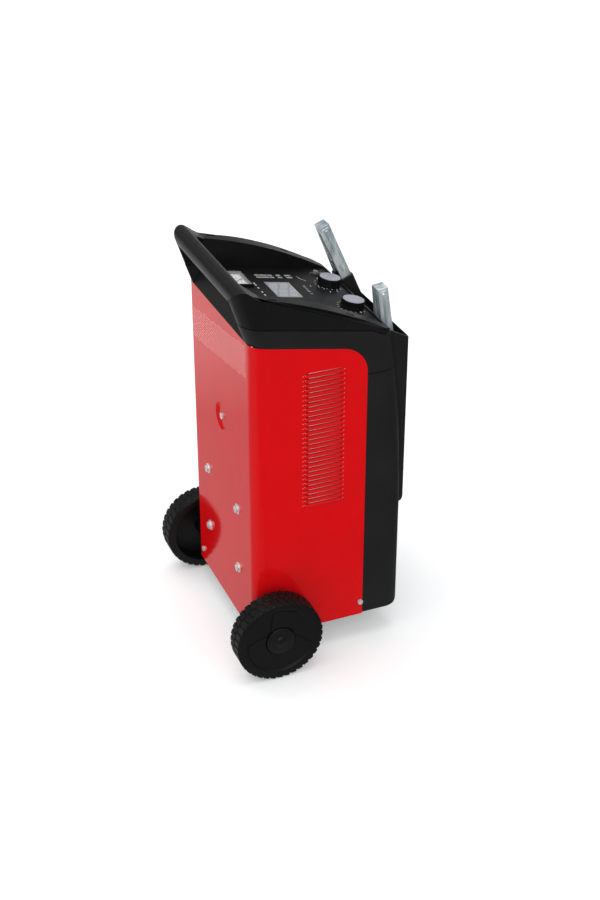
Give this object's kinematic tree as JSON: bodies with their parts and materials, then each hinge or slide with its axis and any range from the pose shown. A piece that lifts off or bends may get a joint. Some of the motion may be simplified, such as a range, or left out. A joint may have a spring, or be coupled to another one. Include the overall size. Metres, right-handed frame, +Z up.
{
  "type": "battery charger",
  "caption": "Wheeled car battery charger and starter: red steel case, black handle console with meter, selector and timer, clamp pocket, battery clamps.",
  "frame": {"origin": "on the ground, under the centre of the part's bounding box", "axes": "+Z up; -Y towards the front with the clamp pocket, +Y towards the rear with the handle and wheels; +X towards the user's right when facing the front from the handle"},
  "size_m": [0.3352, 0.278, 0.565],
  "materials": {
    "red_paint": "gloss powder coat",
    "black_moulding": "fine satin grain",
    "console_foil": "printed matt foil",
    "dial_card": "matt white card",
    "needle_red": "matt paint",
    "clear_lens": "clear moulded acrylic",
    "knob_black": "satin",
    "knob_disc": "pale lilac grey, satin",
    "bakelite": "brown phenolic",
    "ivory_plastic": "ivory nylon",
    "button_grey": "satin grey",
    "zinc_steel": "bright zinc plating",
    "wheel_rubber": "moulded satin black",
    "cap_black": "moulded black",
    "pad_rubber": "matt rubber",
    "lamination": "varnished silicon steel sheets",
    "copper_wire": "enamelled copper",
    "fin_aluminium": "extruded, plain",
    "diode_case": "plated stud cases",
    "clamp_steel": "bright nickel plated sheet",
    "pin_steel": "plain steel",
    "grip_vinyl": "dipped black vinyl"
  },
  "bodies": {
    "charger": {"cover": "red_paint", "floor_plate": "zinc_steel", "top_bezel": "black_moulding", "top_housing": "black_moulding", "front_panel": "black_moulding", "clamp_pocket": "black_moulding", "control_plate": "console_foil", "meter_case": "black_moulding", "meter_dial": "dial_card", "meter_lens": "clear_lens", "selector_switch": "bakelite", "timer_body": "ivory_plastic", "bush_nuts": "zinc_steel", "breaker_body": "bakelite", "axle": "zinc_steel", "axle_washers": "zinc_steel", "axle_clips": "zinc_steel", "front_foot": "black_moulding", "foot_pad": "pad_rubber", "foot_screws": "zinc_steel", "transformer_core": "lamination", "primary_winding": "copper_wire", "secondary_winding": "copper_wire", "core_spacers": "zinc_steel", "core_bolts": "zinc_steel", "core_nuts": "zinc_steel", "heat_sink": "fin_aluminium", "diodes": "diode_case", "sink_bracket": "zinc_steel", "sink_screw": "zinc_steel", "terminal_block": "ivory_plastic", "lead_glands": "pad_rubber", "cover_screws": "zinc_steel", "bezel_screws": "zinc_steel"},
    "needle": {"meter_needle": "needle_red"},
    "selector": {"selector_knob": "knob_black", "selector_disc": "knob_disc"},
    "timer": {"timer_knob": "knob_black", "timer_disc": "knob_disc"},
    "button": {"reset_button": "button_grey"},
    "left_wheel": {"wheel_left": "wheel_rubber", "hub_cap_left": "cap_black"},
    "right_wheel": {"wheel_right": "wheel_rubber", "hub_cap_right": "cap_black"},
    "right_clamp": {"right_clamp_leg": "clamp_steel", "right_clamp_pin": "pin_steel", "right_clamp_spring": "pin_steel", "right_leg_sleeve": "grip_vinyl"},
    "right_jaw": {"right_clamp_jaw": "clamp_steel", "right_jaw_sleeve": "grip_vinyl"},
    "left_clamp": {"left_clamp_leg": "clamp_steel", "left_clamp_pin": "pin_steel", "left_clamp_spring": "pin_steel", "left_leg_sleeve": "grip_vinyl"},
    "left_jaw": {"left_clamp_jaw": "clamp_steel", "left_jaw_sleeve": "grip_vinyl"}
  },
  "joints": [
    {"name": "left_wheel_spin", "type": "hinge", "parent": "charger", "child": "left_wheel", "pos_m": [-0.1485, 0.0765, 0.0625], "axis": [1, 0, 0], "continuous": true},
    {"name": "right_wheel_spin", "type": "hinge", "parent": "charger", "child": "right_wheel", "pos_m": [0.1485, 0.0765, 0.0625], "axis": [1, 0, 0], "continuous": true},
    {"name": "selector_turn", "type": "hinge", "parent": "charger", "child": "selector", "pos_m": [0.039, -0.0783, 0.48469], "axis": [0, -0.1822, 0.9833], "range_deg": [-240, 0]},
    {"name": "timer_turn", "type": "hinge", "parent": "charger", "child": "timer", "pos_m": [-0.039, -0.0783, 0.48469], "axis": [0, -0.1822, 0.9833], "range_deg": [-300, 0]},
    {"name": "button_press", "type": "slide", "parent": "charger", "child": "button", "axis": [0, 0.1822, -0.9833], "range_m": [0, 0.0025], "stiffness_N_per_m": 300, "springref_m": -0.003},
    {"name": "needle_swing", "type": "hinge", "parent": "charger", "child": "needle", "pos_m": [0.05, 0.04464, 0.50442], "axis": [0, -0.1822, 0.9833], "range_deg": [-80, 0], "stiffness_Nm_per_rad": 0.0001, "springref_deg": 17.19},
    {"name": "right_clamp_lift", "type": "slide", "parent": "charger", "child": "right_clamp", "axis": [0, 0.3827, 0.9239], "range_m": [0, 0.14]},
    {"name": "right_clamp_open", "type": "hinge", "parent": "right_clamp", "child": "right_jaw", "pos_m": [0.0669, -0.09998, 0.5047], "axis": [0, 0.9239, -0.3827], "range_deg": [0, 17], "stiffness_Nm_per_rad": 1, "springref_deg": -20.05},
    {"name": "left_clamp_lift", "type": "slide", "parent": "charger", "child": "left_clamp", "axis": [0, 0.1253, 0.9921], "range_m": [0, 0.14]},
    {"name": "left_clamp_open", "type": "hinge", "parent": "left_clamp", "child": "left_jaw", "pos_m": [-0.0528, -0.11765, 0.45377], "axis": [0, 0.9921, -0.1253], "range_deg": [0, 17], "stiffness_Nm_per_rad": 1, "springref_deg": -20.05}
  ]
}
